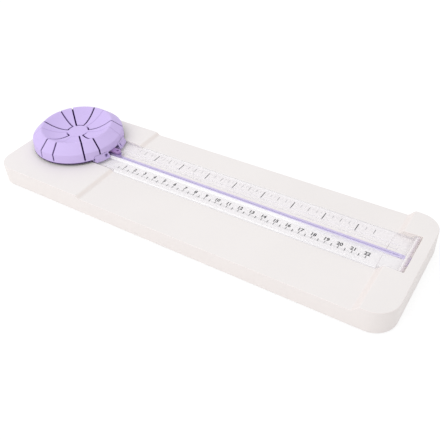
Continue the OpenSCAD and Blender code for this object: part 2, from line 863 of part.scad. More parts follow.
// Blade with a point in the middle, so that it cuts both ways
module blade() {
    color(steel)
        difference() {
            across_y(blade_t)
                polygon([[blade_x0, blade_top], [blade_x0, blade_side_z],
                    [cut_x - blade_point / 2, blade_tip_z], [cut_x + blade_point / 2, blade_tip_z],
                    [blade_x1, blade_side_z], [blade_x1, blade_top]]);
            bar_y(cut_x, blade_pin_z, blade_pin_d + 2 * screw_gap, holder_w);
        }
}

module blade_pin() {
    color(steel)
        bar_y(cut_x, blade_pin_z, blade_pin_d, holder_w);
}

base_shell();
cutting_strip();
hinge_pin();
hinge_keeper();
keeper_screws();
foot(-1, -1);  // foot_front_left
foot(1, -1);  // foot_front_right
foot(-1, 1);  // foot_rear_left
foot(1, 1);  // foot_rear_right
rail();
end_stop();
end_stop_screws();
carriage();
slide_runner();
runner_screws();
return_spring(posts[0]);  // return_spring_1
return_spring(posts[1]);  // return_spring_2
return_spring(posts[2]);  // return_spring_3
return_spring(posts[3]);  // return_spring_4
palm_cap();
cap_screws();
cap_washers();
blade_holder();
holder_screw();
blade();
blade_pin();
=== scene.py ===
import math

import bmesh
import bpy
import numpy as np
from mathutils import Matrix, Vector


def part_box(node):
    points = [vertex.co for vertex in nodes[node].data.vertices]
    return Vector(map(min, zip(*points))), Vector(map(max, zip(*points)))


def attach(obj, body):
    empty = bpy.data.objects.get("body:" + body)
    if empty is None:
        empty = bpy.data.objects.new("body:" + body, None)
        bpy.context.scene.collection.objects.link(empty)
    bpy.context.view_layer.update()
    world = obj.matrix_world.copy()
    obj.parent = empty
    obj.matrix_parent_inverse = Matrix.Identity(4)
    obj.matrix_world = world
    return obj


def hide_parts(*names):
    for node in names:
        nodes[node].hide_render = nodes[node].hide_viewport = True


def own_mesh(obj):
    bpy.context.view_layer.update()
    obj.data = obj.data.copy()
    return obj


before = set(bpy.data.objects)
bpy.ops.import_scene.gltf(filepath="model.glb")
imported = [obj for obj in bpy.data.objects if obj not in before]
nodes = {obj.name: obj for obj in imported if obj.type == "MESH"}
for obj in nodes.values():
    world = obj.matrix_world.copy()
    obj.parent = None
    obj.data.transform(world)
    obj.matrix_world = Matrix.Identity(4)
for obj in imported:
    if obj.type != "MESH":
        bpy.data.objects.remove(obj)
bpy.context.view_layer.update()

# Base shell: one ivory moulding, hollow below, with a paper platform between a low and a high head.
# It is injection moulded, so its rim, its steps and the mouths of its pockets are rounded, and its
# skin has the fine grain of a spark-eroded mould.
MM = 0.001
IVORY = (0.86, 0.824, 0.814)
# Colour of the painted warm shade on the slopes and upright walls of the base.
WARM_SHADE_IVORY = (0.86, 0.795, 0.775)
rim_radius = 1.7 * MM
step_radius = 1.2 * MM
mouth_radius = 0.45 * MM
foot_rim_radius = 0.5 * MM
base_low, base_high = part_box("base_shell")
platform_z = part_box("cutting_strip")[1].z
# Points closer than weld are one point, and a place within slack of a level lies on it. Faces that meet at
# less than flat_angle are one face; past sharp_angle an edge is rounded, past crease_angle it shows.
weld, slack = 1e-6, 0.1 * MM
flat_angle, sharp_angle, crease_angle = math.radians(0.4), math.radians(25), math.radians(34)


def grow(tree, kind, inputs=None, **settings):
    """Adds a shader node; an input takes a plain value or another node's output."""
    made = tree.nodes.new(kind)
    for name, value in settings.items():
        setattr(made, name, value)
    for name, value in (inputs or {}).items():
        if isinstance(value, bpy.types.NodeSocket):
            tree.links.new(value, made.inputs[name])
        else:
            made.inputs[name].default_value = value
    return made


def blank_material(name):
    """A new material with its shader: (material, node tree, principled shader, object coordinates)."""
    material = bpy.data.materials.new(name)
    material.use_nodes = True
    tree = material.node_tree
    place = grow(tree, "ShaderNodeTexCoord").outputs["Object"]
    return material, tree, tree.nodes["Principled BSDF"], place


def noise(tree, place, per_metre, detail):
    """Cloudy pattern with about so many clouds per metre."""
    clouds = grow(tree, "ShaderNodeTexNoise", {"Vector": place, "Scale": per_metre, "Detail": detail})
    return clouds.outputs["Fac"]


def tinted(tree, pattern, dark, light, dark_to=0.3, light_from=0.7):
    """Colour that runs from dark to light with a pattern."""
    colours = grow(tree, "ShaderNodeValToRGB", {"Fac": pattern})
    ends = colours.color_ramp.elements
    ends[0].position, ends[1].position = dark_to, light_from
    ends[0].color, ends[1].color = (*dark, 1), (*light, 1)
    return colours.outputs["Color"]


def blend(tree, share, first, second):
    """Colour between two colours or colour sockets."""
    mix = grow(tree, "ShaderNodeMix", data_type="RGBA")
    tree.links.new(share, mix.inputs[0])
    for socket, colour in ((mix.inputs[6], first), (mix.inputs[7], second)):
        if isinstance(colour, bpy.types.NodeSocket):
            tree.links.new(colour, socket)
        else:
            socket.default_value = (*colour, 1)
    return mix.outputs[2]


def ramp(tree, value, low, high, to_low=0.0, to_high=1.0):
    """Value that goes from to_low to to_high while the given one goes from low to high."""
    ends = {"From Min": low, "From Max": high, "To Min": to_low, "To Max": to_high}
    return grow(tree, "ShaderNodeMapRange", {"Value": value, **ends}).outputs["Result"]


def maths(tree, operation, *values):
    """Result of a math node on one or two values."""
    return grow(tree, "ShaderNodeMath", dict(enumerate(values)), operation=operation).outputs["Value"]


def times(tree, *values):
    """Product of several values."""
    product = values[0]
    for value in values[1:]:
        product = maths(tree, "MULTIPLY", product, value)
    return product


def xyz(tree, vector):
    """The three parts of a vector, by name."""
    return grow(tree, "ShaderNodeSeparateXYZ", {"Vector": vector}).outputs


def face_normal(tree):
    """The three parts of the direction that a face looks in, by name."""
    return xyz(tree, grow(tree, "ShaderNodeNewGeometry").outputs["True Normal"])


def roughen(tree, shader, pattern, strength, depth):
    """Gives a surface a fine relief."""
    skin = grow(tree, "ShaderNodeBump", {"Height": pattern, "Strength": strength, "Distance": depth})
    tree.links.new(skin.outputs["Normal"], shader.inputs["Normal"])


def moulded_plastic(name, colour, gloss=0.42, cloud=0.025, grain=0.10):
    """Opaque moulded plastic: faint flow clouds in its colour, uneven gloss and a fine mould grain."""
    material, tree, shader, place = blank_material(name)
    gloss_spread = 0.07
    flow = noise(tree, place, per_metre=22.0, detail=4.0)
    fine = noise(tree, place, per_metre=1500.0, detail=3.0)
    dark = [c * (1 - cloud) for c in colour]
    tree.links.new(tinted(tree, flow, dark, colour), shader.inputs["Base Color"])
    uneven = ramp(tree, fine, 0.0, 1.0, gloss - gloss_spread, gloss + gloss_spread)
    tree.links.new(uneven, shader.inputs["Roughness"])
    roughen(tree, shader, fine, strength=grain, depth=0.05 * MM)
    return material


def paint_over(material, share, colour):
    """Blends a colour over a plastic's own one where share, a value of its node tree, is 1."""
    tree = material.node_tree
    base_colour = tree.nodes["Principled BSDF"].inputs["Base Color"]
    own = base_colour.links[0].from_socket
    tree.links.new(blend(tree, share, own, colour), base_colour)


def welded(node):
    """Copy of a node's solid with its points welded."""
    bm = bmesh.new()
    bm.from_mesh(nodes[node].data)
    bmesh.ops.remove_doubles(bm, verts=bm.verts, dist=weld)
    return bm


def solid_copy(node):
    """Welded copy of a node's solid, with the triangles of each flat face joined."""
    bm = welded(node)
    bmesh.ops.dissolve_limit(bm, angle_limit=flat_angle, verts=bm.verts, edges=bm.edges)
    return bm


def round_edges(bm, radius, pick=lambda edge: True, segments=4, clamp=True):
    """Rounds the sharp edges that pick chooses; clamp keeps the rounding short of the next edge."""
    bm.normal_update()
    sharp = [e for e in bm.edges if len(e.link_faces) == 2 and e.calc_face_angle() > sharp_angle]
    chosen = [e for e in sharp if pick(e)]
    bmesh.ops.bevel(bm, geom=chosen, offset=radius, offset_type="OFFSET", segments=segments,
                    profile=0.5, affect="EDGES", clamp_overlap=clamp)


def put_in_scene(name, data):
    """Object of a mesh, a lamp or a camera, linked to the scene."""
    thing = bpy.data.objects.new(name, data)
    bpy.context.scene.collection.objects.link(thing)
    return thing


def piece_of(bm, name, body, material, stands_for=()):
    """Makes a shown piece of a mesh, smooth between its sharp edges, that moves with a body."""
    bm.normal_update()
    for face in bm.faces:
        face.smooth = True
    for edge in bm.edges:
        edge.smooth = len(edge.link_faces) == 2 and edge.calc_face_angle() < crease_angle
    mesh = bpy.data.meshes.new(name)
    bm.to_mesh(mesh)
    bm.free()
    mesh.materials.append(material)
    piece = put_in_scene(name, mesh)
    level = piece.modifiers.new("level faces", "WEIGHTED_NORMAL")
    level.keep_sharp = True
    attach(piece, body)
    if stands_for:
        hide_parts(*stands_for)
    return piece


def middle(edge):
    """Middle point of an edge."""
    return (edge.verts[0].co + edge.verts[1].co) / 2


def on_the_rim(edge):
    """Upper outer edge of the base, away from the channel and the pocket."""
    side_band, end_band = 0.6 * base_high.y, base_high.x - 2 * MM
    at = middle(edge)
    outside = abs(at.y) > side_band or abs(at.x) > end_band
    return outside and min(v.co.z for v in edge.verts) > platform_z - slack


def on_a_step(edge):
    """Edge across the top between a level face and a slope."""
    facing_up = 0.3
    level = abs(edge.verts[0].co.z - edge.verts[1].co.z) < 0.1 * slack
    return level and all(face.normal.z > facing_up for face in edge.link_faces)


def on_a_mouth(edge):
    """Upper edge of the channel, of the strip's groove and of the pocket, without the hinge pin's slots."""
    upright, lying, margin = 0.1, 0.5, 1 * MM
    above = min(v.co.z for v in edge.verts) > platform_z - slack
    tilts = [abs(face.normal.z) for face in edge.link_faces]
    low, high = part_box("hinge_pin")
    at = middle(edge)
    in_slot = low.x - margin < at.x < high.x + margin and at.z < high.z + margin
    return above and not in_slot and edge.is_convex and min(tilts) < upright < lying < max(tilts)


def on_the_foot(edge):
    """Lowest edge of the base."""
    return max(v.co.z for v in edge.verts) < base_low.z + slack


def warm_on_slopes(material, colour, level=0.97, sloping=0.85, upright=0.1, steep=0.4, upright_share=0.6):
    """Paints a warm shade over a plastic on its slopes, and a little less on its upright walls.
    The limits are the upward parts of a face's normal."""
    tree = material.node_tree
    up = face_normal(tree)["Z"]
    slope = times(tree, ramp(tree, up, level, sloping), ramp(tree, up, upright, steep, upright_share))
    paint_over(material, slope, colour)
    return material


# The ivory is painted a warm shade on its slopes and, a little less, on its upright walls.
ivory_plastic = warm_on_slopes(moulded_plastic("ivory_plastic", IVORY), WARM_SHADE_IVORY)
base = solid_copy("base_shell")
round_edges(base, step_radius, on_a_step)
round_edges(base, rim_radius, on_the_rim, segments=6)
round_edges(base, mouth_radius, on_a_mouth, segments=3, clamp=False)
round_edges(base, foot_rim_radius, on_the_foot, segments=3)
piece_of(base, "base_moulding", "base", ivory_plastic, ["base_shell"])

# Feet: four grey rubber discs pushed into round seats under the corners of the base.
# Each has a rounded lower edge and a shallow ring moulded into its sole.
RUBBER = (0.30, 0.29, 0.29)
pad_edge = 0.5 * MM
sole_ring = 0.25 * MM
ring_inside, ring_outside, ring_slope = 0.5, 0.7, 0.05


def lathe(bm, profile, centre, sides=64):
    """Adds a solid of revolution about an upright axis; profile is (radius, height) from axis to axis."""
    rings = []
    for radius, height in profile:
        turns = sides if radius > weld else 1
        ring = []
        for k in range(turns):
            angle = 2 * math.pi * k / turns
            ring.append(bm.verts.new((centre[0] + radius * math.cos(angle),
                                      centre[1] + radius * math.sin(angle), height)))
        rings.append(ring)
    for low, high in zip(rings, rings[1:]):
        for k in range(sides):
            corners = [low[k % len(low)], low[(k + 1) % len(low)],
                       high[(k + 1) % len(high)], high[k % len(high)]]
            corners = list(dict.fromkeys(corners))
            if len(corners) > 2:
                bm.faces.new(corners)
    return rings


def soft_rubber(name, colour):
    """Matt rubber with a dusty bloom and fine pores."""
    material, tree, shader, place = blank_material(name)
    dust = noise(tree, place, per_metre=260.0, detail=6.0)
    pores = grow(tree, "ShaderNodeTexVoronoi", {"Vector": place, "Scale": 2200.0})
    bloom = [0.6 * c + 0.3 for c in colour]
    tree.links.new(tinted(tree, dust, colour, bloom), shader.inputs["Base Color"])
    roughen(tree, shader, pores.outputs["Distance"], strength=0.3, depth=0.05 * MM)
    shader.inputs["Roughness"].default_value = 0.8
    return material


foot_rubber = soft_rubber("foot_rubber", RUBBER)
for corner in ("front_left", "front_right", "rear_left", "rear_right"):
    low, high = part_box("foot_" + corner)
    pad_r = (high.x - low.x) / 2
    sole = [(0, low.z), ((ring_inside - ring_slope) * pad_r, low.z), (ring_inside * pad_r, low.z + sole_ring),
            (ring_outside * pad_r, low.z + sole_ring), ((ring_outside + ring_slope) * pad_r, low.z),
            (pad_r - pad_edge, low.z)]
    edge = [(pad_r - pad_edge * (1 - math.sin(a)), low.z + pad_edge * (1 - math.cos(a)))
            for a in np.linspace(math.pi / 8, math.pi / 2, 4)]
    bm = bmesh.new()
    lathe(bm, sole + edge + [(pad_r, high.z), (0, high.z)], (low + high) / 2)
    bmesh.ops.recalc_face_normals(bm, faces=bm.faces)
    piece_of(bm, "foot_pad_" + corner, "base", foot_rubber, ["foot_" + corner])

# Cutting strip: soft purple plastic let into the platform, with a groove for the blade's point.
# Passing blades have left fine lengthwise scores in it.
STRIP_PURPLE = (0.63, 0.56, 0.82)


def streaks(tree, place, per_metre, detail):
    """Pattern of streaks; per_metre counts them along X, Y and Z."""
    drawn = grow(tree, "ShaderNodeMapping", {"Vector": place, "Scale": per_metre})
    return noise(tree, drawn.outputs["Vector"], 1.0, detail)


def scored_plastic(name, colour):
    """Matt plastic with hair-fine scores along X."""
    material, tree, shader, place = blank_material(name)
    scores = streaks(tree, place, per_metre=(30.0, 4000.0, 1.0), detail=2.0)
    dark = [0.94 * c for c in colour]
    tree.links.new(tinted(tree, scores, dark, colour), shader.inputs["Base Color"])
    roughen(tree, shader, scores, strength=0.25, depth=0.04 * MM)
    shader.inputs["Roughness"].default_value = 0.6
    return material


def dress(node, material):
    """Gives a node that is shown as it is its material."""
    mesh = nodes[node].data
    mesh.materials.clear()
    mesh.materials.append(material)
    for face in mesh.polygons:
        face.use_smooth = False


purple_strip = scored_plastic("purple_strip", STRIP_PURPLE)
dress("cutting_strip", purple_strip)

# Tongue: the end of the strip, a thin purple tee that lies on the floor of the pocket under the hinge
# barrel. Its bar runs along the pocket's end wall to the near side and keeps the strip from creeping.
strip_low, strip_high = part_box("cutting_strip")
cut_y = (strip_low.y + strip_high.y) / 2
strip_half = (strip_high.y - strip_low.y) / 2
tongue_x = strip_high.x + 0.06 * MM
tongue_low, tongue_high = platform_z - 0.38 * MM, platform_z - 0.12 * MM
bar_x0, bar_x1, bar_near = strip_high.x + 1.8 * MM, strip_high.x + 5.7 * MM, -7.5 * MM
tongue_edge = 0.08 * MM


def between(first, last):
    """Closed mesh between two like outlines, given as points."""
    bm = bmesh.new()
    ends = [[bm.verts.new(p) for p in outline] for outline in (first, last)]
    bm.faces.new(ends[0][::-1])
    bm.faces.new(ends[1])
    for k in range(len(first)):
        bm.faces.new((ends[0][k - 1], ends[0][k], ends[1][k], ends[1][k - 1]))
    bmesh.ops.recalc_face_normals(bm, faces=bm.faces)
    return bm


tee = [(tongue_x, -strip_half), (bar_x0, -strip_half), (bar_x0, bar_near), (bar_x1, bar_near),
       (bar_x1, strip_half), (tongue_x, strip_half)]
bm = between(*([(x, cut_y + y, z) for x, y in tee] for z in (tongue_low, tongue_high)))
round_edges(bm, tongue_edge, segments=2)
piece_of(bm, "strip_tongue", "base", purple_strip)

# Hinge: an ivory plastic pin across the pocket of the right head, on which the rail turns.
# A screwed plate of the same plastic holds the pin up in its slots from below.
pin_edge = 0.25 * MM
keeper_edge = 0.3 * MM
bm = solid_copy("hinge_pin")
round_edges(bm, pin_edge, segments=3)
piece_of(bm, "hinge_axle", "base", ivory_plastic, ["hinge_pin"])
bm = solid_copy("hinge_keeper")
round_edges(bm, keeper_edge, segments=3)
piece_of(bm, "keeper_plate", "base", ivory_plastic, ["hinge_keeper"])

# Screws: zinc-plated self-tapping screws with low domed heads and a cross recess, turned into pilot
# holes of the plastic. Every group of screws of the trimmer is made here, each from its node's size.
ZINC = (0.66, 0.66, 0.67)
screw_groups = {"keeper_screws": "base", "end_stop_screws": "ruler_rail", "runner_screws": "cutter_carriage",
                "cap_screws": "cutter_cap", "holder_screw": "cutter_cap"}
thread_pitch = 0.8 * MM
thread_depth = 0.12
dome_share, recess_share, recess_depth = 0.45, 0.5, 0.75
screw_sides, recess_arms = 32, 4


def worked_steel(name, colour, rough, per_metre):
    """Steel with fine tool marks; per_metre counts the marks along X, Y and Z."""
    material, tree, shader, place = blank_material(name)
    smoother, rougher = 0.08, 0.1
    marks = streaks(tree, place, per_metre, detail=4.0)
    dark = [0.85 * c for c in colour]
    tree.links.new(tinted(tree, marks, dark, colour), shader.inputs["Base Color"])
    worn = ramp(tree, marks, 0.0, 1.0, rough - smoother, rough + rougher)
    tree.links.new(worn, shader.inputs["Roughness"])
    roughen(tree, shader, marks, strength=0.15, depth=0.02 * MM)
    shader.inputs["Metallic"].default_value = 1.0
    return material


def separate_solids(node):
    """Points of each separate solid of a node."""
    bm = welded(node)
    left = set(bm.verts)
    solids = []
    while left:
        island, todo = set(), [left.pop()]
        while todo:
            vert = todo.pop()
            island.add(vert)
            near = {e.other_vert(vert) for e in vert.link_edges} & left
            left -= near
            todo += near
        solids.append(np.array([v.co for v in island]))
    bm.free()
    return solids


def widest(points, height):
    """Largest distance from the axis among the points at one height."""
    centre = (points.min(0) + points.max(0)) / 2
    level = points[abs(points[:, 2] - height) < 0.1 * slack]
    return np.hypot(*(level - centre)[:, :2].T).max()


def add_screw(bm, points):
    """Adds one screw in the place of a plain head and shank."""
    low, high = points.min(0), points.max(0)
    centre = (low + high) / 2
    head_up = widest(points, high[2]) > widest(points, low[2])
    outer, tip = (high[2], low[2]) if head_up else (low[2], high[2])
    step = 1 if tip > outer else -1
    head_r, shank_r = widest(points, outer), widest(points, tip)
    seat = sorted(set(np.round(points[:, 2], 6)), key=lambda z: abs(z - outer))[1]
    dome = dome_share * abs(seat - outer) * step
    recess_r, recess_z = recess_share * head_r, outer + recess_depth * (seat - outer)
    head = [(0, recess_z), (0.55 * recess_r, outer + 0.1 * dome), (recess_r, outer + 0.05 * dome),
            (0.75 * head_r, outer + 0.35 * dome), (0.93 * head_r, outer + dome),
            (head_r, seat - 0.2 * dome), (head_r, seat), (shank_r, seat)]
    root_r = shank_r * (1 - 2 * thread_depth)
    thread = []
    for k in range(int(abs(tip - seat) / thread_pitch)):
        for radius, share in ((root_r, 0.2), (shank_r, 0.6), (root_r, 1.0)):
            thread.append((radius, seat + step * (k + share) * thread_pitch))
    rings = lathe(bm, head + thread + [(0.5 * shank_r, tip), (0, tip)], centre, screw_sides)
    for k, vert in enumerate(rings[1]):
        if k % (screw_sides // recess_arms):
            vert.co = centre[0], centre[1], recess_z


zinc = worked_steel("screw_steel", ZINC, rough=0.32, per_metre=(900.0, 900.0, 900.0))
for group, body in screw_groups.items():
    bm = bmesh.new()
    for points in separate_solids(group):
        add_screw(bm, points)
    bmesh.ops.recalc_face_normals(bm, faces=bm.faces)
    piece_of(bm, group + "_threaded", body, zinc, [group])

# Rail: a clear styrene ruler plate with bevelled edges, two ribs beside a keyed slot, and a hinge barrel.
# It is moulded in one piece and polished, and it lets the light through.
# The far half of the rail is painted greyer than the near half, a painted shade.
NEAR_CLEAR, FAR_SHADED_CLEAR = (0.93, 0.93, 1.0), (0.90, 0.87, 0.94)
# Grey painted shade on the upright edges of the rail.
EDGE_SHADE = (0.60, 0.58, 0.63)
# White painted sheen on the rims and at the foot of the near rib, dulling to grey-lilac towards the hinge.
PAINTED_SHEEN, DULL_PAINTED_SHEEN = (0.99, 0.985, 1.0), (0.79, 0.77, 0.83)
# Pale lilac painted reflection of the strip, painted lighter over the barrel's outer flank.
FLANK_REFLECTION = (0.93, 0.85, 0.92)
clear_cover, slot_cover, edge_cover, rim_cover, foot_cover, flank_cover = 0.18, 0.08, 0.42, 0.55, 0.9, 0.5
plate_z = 16.7 * MM
# Each fade is the two places between which a look comes in; across the rail they count from the cutting line.
top_fade = plate_z - 0.1 * MM, plate_z - 0.05 * MM
slot_fade = 5.6 * MM, 5.2 * MM
edge_fade = 6.4 * MM, 6.6 * MM
rim_fade, hinge_rim_share = (18.9 * MM, 19.3 * MM), 0.4
foot_near_fade, foot_far_fade = (-7.8 * MM, -7.4 * MM), (-5.1 * MM, -5.5 * MM)
far_half_fade = 1 * MM, 4 * MM
sheen_fade = 112 * MM, 72 * MM
slot_end_fade = 152 * MM, 140 * MM
hinge_x = (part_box("hinge_pin")[0].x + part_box("hinge_pin")[1].x) / 2
flank_fade = hinge_x + 0.4 * MM, hinge_x + 0.8 * MM


def clear_plastic(name):
    """Polished clear plastic with faint flow waves that lets the lamps shine through. Its upright edges carry
    a grey painted shade and its far half a greyer painted shade; its rims and the foot of its near rib carry
    a white painted sheen that dulls towards the hinge, and it is clearest over the slot. The outer flank of
    the hinge barrel carries a pale lilac painted reflection of the strip."""
    material, tree, shader, place = blank_material(name)
    upright, lying = 0.1, 0.3
    waves = noise(tree, place, per_metre=120.0, detail=2.0)
    spot = xyz(tree, place)
    level = maths(tree, "ABSOLUTE", face_normal(tree)["Z"])
    across = maths(tree, "SUBTRACT", spot["Y"], cut_y)
    off = maths(tree, "ABSOLUTE", across)
    slot = ramp(tree, off, *slot_fade)
    edge = times(tree, ramp(tree, level, lying, upright), ramp(tree, off, *edge_fade))
    white = ramp(tree, spot["X"], *sheen_fade)
    rim = times(tree, ramp(tree, level, upright, lying), ramp(tree, off, *rim_fade),
                ramp(tree, white, 0, 1, hinge_rim_share))
    foot = times(tree, ramp(tree, across, *foot_near_fade), ramp(tree, across, *foot_far_fade),
                 ramp(tree, spot["Z"], *top_fade), ramp(tree, spot["X"], *slot_end_fade))
    flank = ramp(tree, spot["X"], *flank_fade)
    near = tinted(tree, waves, [0.97 * c for c in NEAR_CLEAR], NEAR_CLEAR)
    face = blend(tree, ramp(tree, across, *far_half_fade), near, FAR_SHADED_CLEAR)
    bright = blend(tree, foot, blend(tree, rim, face, PAINTED_SHEEN), blend(tree, white, DULL_PAINTED_SHEEN, PAINTED_SHEEN))
    outer = blend(tree, flank, blend(tree, edge, bright, EDGE_SHADE), FLANK_REFLECTION)
    tree.links.new(outer, shader.inputs["Base Color"])
    cover = ramp(tree, slot, 0, 1, clear_cover, slot_cover)
    for share, thickness in ((edge, edge_cover), (rim, rim_cover), (foot, foot_cover), (flank, flank_cover)):
        cover = ramp(tree, share, 0, 1, cover, thickness)
    tree.links.new(cover, shader.inputs["Alpha"])
    shader.inputs["Roughness"].default_value = 0.08
    shader.inputs["IOR"].default_value = 1.5
    through = grow(tree, "ShaderNodeBsdfTransparent", {"Color": (1, 1, 1, 1)})
    rays = grow(tree, "ShaderNodeLightPath").outputs
    passing = maths(tree, "MAXIMUM", rays["Is Shadow Ray"], rays["Is Diffuse Ray"])
    both = grow(tree, "ShaderNodeMixShader", {0: passing, 1: shader.outputs["BSDF"],
                                              2: through.outputs["BSDF"]})
    tree.links.new(both.outputs["Shader"], tree.nodes["Material Output"].inputs["Surface"])
    return material


clear = clear_plastic("clear_plastic")
dress("rail", clear)

# Scales: centimetres along the near side and inches along the far side, printed on the rail in dark and
# faint ink. Both start at the step of the left head; the numbers stand on the centimetre marks. The film
# of ink is too thin to shade the platform.
INK = (0.055, 0.052, 0.06)
FAINT_INK = (0.34, 0.33, 0.36)
ink_t = 0.03 * MM
zero_x = -81.9 * MM
cm, inch = 10 * MM, 25.4 * MM
cm_count, inch_eighths = 22, 68
cm_edge, inch_edge = -16.2 * MM, 14.5 * MM
number_y, number_height, number_weight = -12.8 * MM, 3.1 * MM, 0.17 * MM
figure_share = 0.7


def printing_ink(name, colour):
    """Matt printing ink, slightly uneven in its cover."""
    material, tree, shader, place = blank_material(name)
    thin = [0.8 * c + 0.06 for c in colour]
    cover = noise(tree, place, per_metre=900.0, detail=3.0)
    tree.links.new(tinted(tree, cover, thin, colour), shader.inputs["Base Color"])
    shader.inputs["Roughness"].default_value = 0.55
    return material


def add_mark(bm, x, y0, y1, width):
    """Adds one printed line across the rail, from y0 to y1 counted from the cutting line."""
    size = (width, y1 - y0, ink_t, 1)
    centre = Vector((x, cut_y + (y0 + y1) / 2, plate_z + ink_t / 2))
    bmesh.ops.create_cube(bm, size=1, matrix=Matrix.Translation(centre) @ Matrix.Diagonal(size))


def add_number(bm, value, x):
    """Adds a printed number centred at x."""
    text = bpy.data.curves.new("number", "FONT")
    text.body = str(value)
    text.size = number_height / figure_share
    text.align_x = "CENTER"
    text.extrude = ink_t / 2
    text.offset = number_weight
    text.resolution_u = 3
    holder = bpy.data.objects.new("number", text)
    flat = bpy.data.meshes.new_from_object(holder)
    flat.transform(Matrix.Translation((x, cut_y + number_y, plate_z + ink_t / 2)))
    bm.from_mesh(flat)
    bpy.data.objects.remove(holder)
    bpy.data.curves.remove(text)
    bpy.data.meshes.remove(flat)


dark_ink, faint_ink = printing_ink("scale_ink", INK), printing_ink("faint_ink", FAINT_INK)
dark_marks, faint_marks = bmesh.new(), bmesh.new()
cm_mark, half_cm_mark, mm_mark = (-13.3 * MM, 0.5 * MM), (-13.6 * MM, 0.6 * MM), (-14.8 * MM, 0.14 * MM)
for k in range(1, cm_count + 1):
    at = zero_x + k * cm
    add_mark(dark_marks, at, cm_edge, *cm_mark)
    add_number(dark_marks, k, at)
    add_mark(dark_marks, at - cm / 2, cm_edge, *half_cm_mark)
for k in range(1, 10 * cm_count + 1):
    if k % 5:
        add_mark(faint_marks, zero_x + k * MM, cm_edge, *mm_mark)
# Marks of the inch scale: each that many eighths, with its start, its width and its ink.
inch_marks = [(8, 6.4 * MM, 0.7 * MM, dark_marks), (4, 9.7 * MM, 0.35 * MM, dark_marks),
              (2, 11 * MM, 0.35 * MM, faint_marks), (1, 12.4 * MM, 0.15 * MM, faint_marks)]
for k in range(1, inch_eighths + 1):
    start, width, marks = next(mark[1:] for mark in inch_marks if k % mark[0] == 0)
    add_mark(marks, zero_x + k * inch / 8, start, inch_edge, width)
for printing in (piece_of(dark_marks, "scale_print", "ruler_rail", dark_ink),
                 piece_of(faint_marks, "scale_print_fine", "ruler_rail", faint_ink)):
    printing.visible_shadow = printing.visible_diffuse = False

# End stop: a clear plug in the open left end of the slot, screwed to both ribs.
# It joins the ends of the ribs and keeps the cutter on the rail.
dress("end_stop", clear)

# Carriage: a lilac moulding whose two wings ride on the rail beside the ribs, with a bridge over them.
# Four collars on it hold the guide tubes and the springs of the cap. Its round front wall is feathered
# against the foot of the cap, and has a slit on each side of the nose, the near one wider.
LILAC = (0.655, 0.535, 0.885)
# The carriage is painted in a darker copy of the cap's lilac, a painted shade.
SHADED_LILAC = (0.57, 0.455, 0.79)
cap_low, cap_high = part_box("palm_cap")
cap_x, cap_y = (cap_low.x + cap_high.x) / 2, (cap_low.y + cap_high.y) / 2
foot_r = (cap_high.x - cap_low.x) / 2
foot_z, crest_z = cap_low.z, cap_high.z
wall_low, wall_high = foot_z - 0.2 * MM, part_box("carriage")[1].z
wall_from = foot_r - 0.3 * MM
front_in, front_out = foot_r + 0.4 * MM, foot_r + 1.9 * MM
lip_in, lip_out = foot_r - 0.44 * MM, foot_r - 0.1 * MM
wall_lean = 0.7 * MM
slit_y, slit_reach, slit_top = 9.45 * MM, 0.7 * MM, 0.8
near_stretch, far_stretch = 2.2, 0.8
carriage_edge = 0.25 * MM
rise_slack = 0.01
lilac_plastic = moulded_plastic("lilac_plastic", LILAC, gloss=0.38, cloud=0.03)
shaded_carriage_plastic = moulded_plastic("shaded_carriage_plastic", SHADED_LILAC, gloss=0.38, cloud=0.03)
bm = solid_copy("carriage")
for vert in bm.verts:
    spoke = Vector((vert.co.x - cap_x, vert.co.y - cap_y))
    rise = (vert.co.z - wall_low) / (wall_high - wall_low)
    if spoke.x < 0 or spoke.length < wall_from or rise < -rise_slack:
        continue
    beside = abs(spoke.y) - slit_y
    if rise < slit_top and abs(beside) < slit_reach:
        spoke.y = slit_y + far_stretch * beside if spoke.y > 0 else -slit_y - near_stretch * beside
    outer = spoke.length > (front_in + front_out) / 2 - wall_lean * rise
    start, end = (front_out, lip_out) if outer else (front_in, lip_in)
    spoke *= (start + (end - start) * max(rise, 0)) / spoke.length
    vert.co.x, vert.co.y = cap_x + spoke.x, cap_y + spoke.y
round_edges(bm, carriage_edge, segments=3)
piece_of(bm, "cutter_carriage_plate", "cutter_carriage", shaded_carriage_plastic, ["carriage"])

# Slide runner: a purple tee screwed under the carriage's bridge, which hangs in the rail's keyway.
# It is slit at its front for the blade.
RUNNER_PURPLE = (0.40, 0.29, 0.60)
runner_edge = 0.15 * MM
purple_plastic = moulded_plastic("purple_plastic", RUNNER_PURPLE, gloss=0.4)
bm = solid_copy("slide_runner")
round_edges(bm, runner_edge, segments=2)
piece_of(bm, "keyway_runner", "cutter_carriage", purple_plastic, ["slide_runner"])

# Return springs: four coils of drawn wire round the guide tubes, between the collars and the cap.
# They shorten as the cap is pressed and lift it again after the cut.
WIRE = (0.55, 0.55, 0.57)
wire_r = 0.35 * MM
spring_gap = 0.3 * MM
coil_turns = 3


def add_coil(bm, centre, radius, low, high, turns, sides=10, steps=28):
    """Adds one closed tube of wire wound from low to high."""
    rings = []
    count = turns * steps
    for k in range(count + 1):
        angle = 2 * math.pi * k / steps
        out = Vector((math.cos(angle), math.sin(angle), 0))
        height = low + wire_r + (high - low - 2 * wire_r) * k / count
        at = Vector((centre.x, centre.y, height)) + radius * out
        ring = [at + wire_r * (math.cos(b) * out + math.sin(b) * Vector((0, 0, 1)))
                for b in (2 * math.pi * s / sides for s in range(sides))]
        rings.append([bm.verts.new(p) for p in ring])
    for a, b in zip(rings, rings[1:]):
        for s in range(sides):
            bm.faces.new((a[s], a[(s + 1) % sides], b[(s + 1) % sides], b[s]))
    bm.faces.new(rings[0][::-1])
    bm.faces.new(rings[-1])


